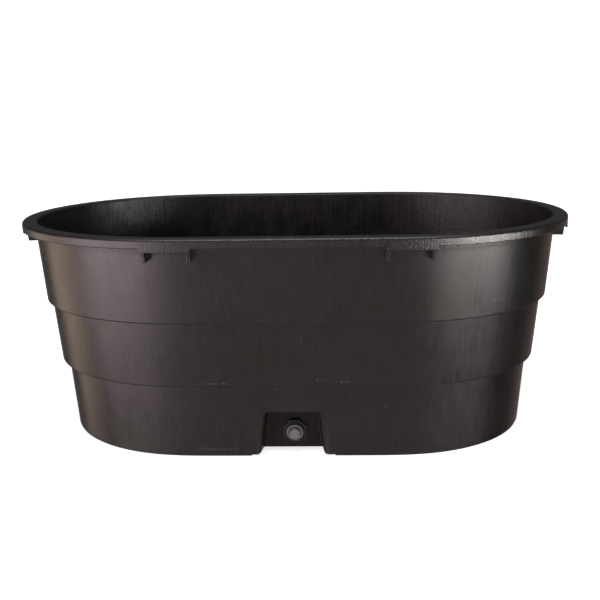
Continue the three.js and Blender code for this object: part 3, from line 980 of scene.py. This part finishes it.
class WorldGraph:
    """The studio's surroundings, as brightness by direction."""

    def __init__(self):
        self.world = bpy.data.worlds.new("studio")
        self.world.use_nodes = True
        self.tree = self.world.node_tree
        direction = self.tree.nodes.new("ShaderNodeTexCoord").outputs["Generated"]
        split = self.tree.nodes.new("ShaderNodeSeparateXYZ")
        self.tree.links.new(direction, split.inputs[0])
        x, y, z = split.outputs
        self.azimuth = self.maths("DEGREES", self.maths("ARCTAN2", x, self.maths("MULTIPLY", y, -1)))
        self.elevation = self.maths("DEGREES", self.maths("ARCSINE", z))

    def maths(self, operation, first, second=0.0, third=0.0):
        made = self.tree.nodes.new("ShaderNodeMath")
        made.operation = operation
        for socket, value in zip(made.inputs, (first, second, third)):
            if isinstance(value, bpy.types.NodeSocket):
                self.tree.links.new(value, socket)
            else:
                socket.default_value = value
        return made.outputs[0]

    def fade(self, value, start, end, first=0.0, last=1.0):
        made = self.tree.nodes.new("ShaderNodeMapRange")
        made.interpolation_type = "SMOOTHSTEP"
        self.tree.links.new(value, made.inputs["Value"])
        made.inputs["From Min"].default_value = start
        made.inputs["From Max"].default_value = end
        made.inputs["To Min"].default_value = first
        made.inputs["To Max"].default_value = last
        return made.outputs["Result"]

    def scaled(self, share, colour):
        made = self.tree.nodes.new("ShaderNodeVectorMath")
        made.operation = "SCALE"
        made.inputs[0].default_value = colour
        self.tree.links.new(share, made.inputs["Scale"])
        return made.outputs[0]

    def total(self, first, second):
        made = self.tree.nodes.new("ShaderNodeVectorMath")
        made.operation = "ADD"
        self.tree.links.new(first, made.inputs[0])
        self.tree.links.new(second, made.inputs[1])
        return made.outputs[0]

    def panel(self, azimuth, half_width, softness, low, low_fall, high, high_fall, brightness, colour):
        """One soft panel, its edges faded, whose azimuth may run past the half turn."""
        turned = self.maths("SUBTRACT", self.azimuth, azimuth)
        off = self.maths("ABSOLUTE", self.maths("WRAP", turned, 180.0, -180.0))
        across = self.fade(off, half_width + softness, half_width)
        above = self.fade(self.elevation, low - low_fall, low)
        below = self.fade(self.elevation, high + high_fall, high)
        share = self.maths("MULTIPLY", self.maths("MULTIPLY", above, below), across)
        return self.scaled(self.maths("MULTIPLY", share, brightness), colour)


def add_world():
    """A dim studio, lighter overhead, with the soft panels low around the trough."""
    graph = WorldGraph()
    dim = graph.fade(graph.elevation, OVERHEAD_FROM, OVERHEAD_TO, STUDIO_BELOW, OVERHEAD)
    light = graph.scaled(dim, (1, 1, 1))
    for panel in PANELS:
        light = graph.total(light, graph.panel(*panel))
    graph.tree.links.new(light, graph.tree.nodes["Background"].inputs["Color"])
    bpy.context.scene.world = graph.world


def add_studio():
    add_world()
    add_light("top_soft_box", (0, -1.4, 2.8), (0, -0.3, 0.5), (2.4, 0.5), 24)
    bpy.context.scene.view_settings.view_transform = "Standard"


# ---- The trough -------------------------------------------------------------------------

def add_piece(piece, body, node, material=None):
    """Gives a finished piece its body and, if one is given, its material and smooth shading; hides the
    CAD node it stands for.
    """
    if material:
        piece.data.materials.append(material)
        smooth(piece, 40)
    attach(piece, body)
    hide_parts(node)


fitting = moulded_material(
    "fitting_plastic", (0.020, 0.021, 0.023), (0.055, 0.058, 0.062), 0.40, 0.35, 900
)
rubber = moulded_material(
    "seal_rubber", (0.0080, 0.0080, 0.0082), (0.016, 0.016, 0.016), 0.75, 0.2, 1400
)
plug_grey = moulded_material(
    "plug_plastic", (0.138, 0.135, 0.129), (0.235, 0.231, 0.221), 0.45, 0.4, 900
)

add_piece(build_tank(), "tank", "tank_shell")
add_piece(bulkhead(), "tank", "bulkhead_body", fitting)
add_piece(flat_ring("inner_gasket", "flange_gasket", HOLE_RADIUS, 0.0006),
          "tank", "flange_gasket", rubber)
add_piece(flat_ring("outer_washer", "slip_washer", HOLE_RADIUS, 0.0004),
          "tank", "slip_washer", fitting)
add_piece(lock_nut(), "tank", "lock_nut", fitting)
plug = plug_body()
join(plug, [plug_hexagon()])
add_piece(plug, "plug", "drain_plug", plug_grey)
add_piece(flat_ring("plug_ring", "plug_seal", BORE_RADIUS, 0.0008),
          "seal", "plug_seal", rubber)

add_camera()
add_floor()
add_studio()
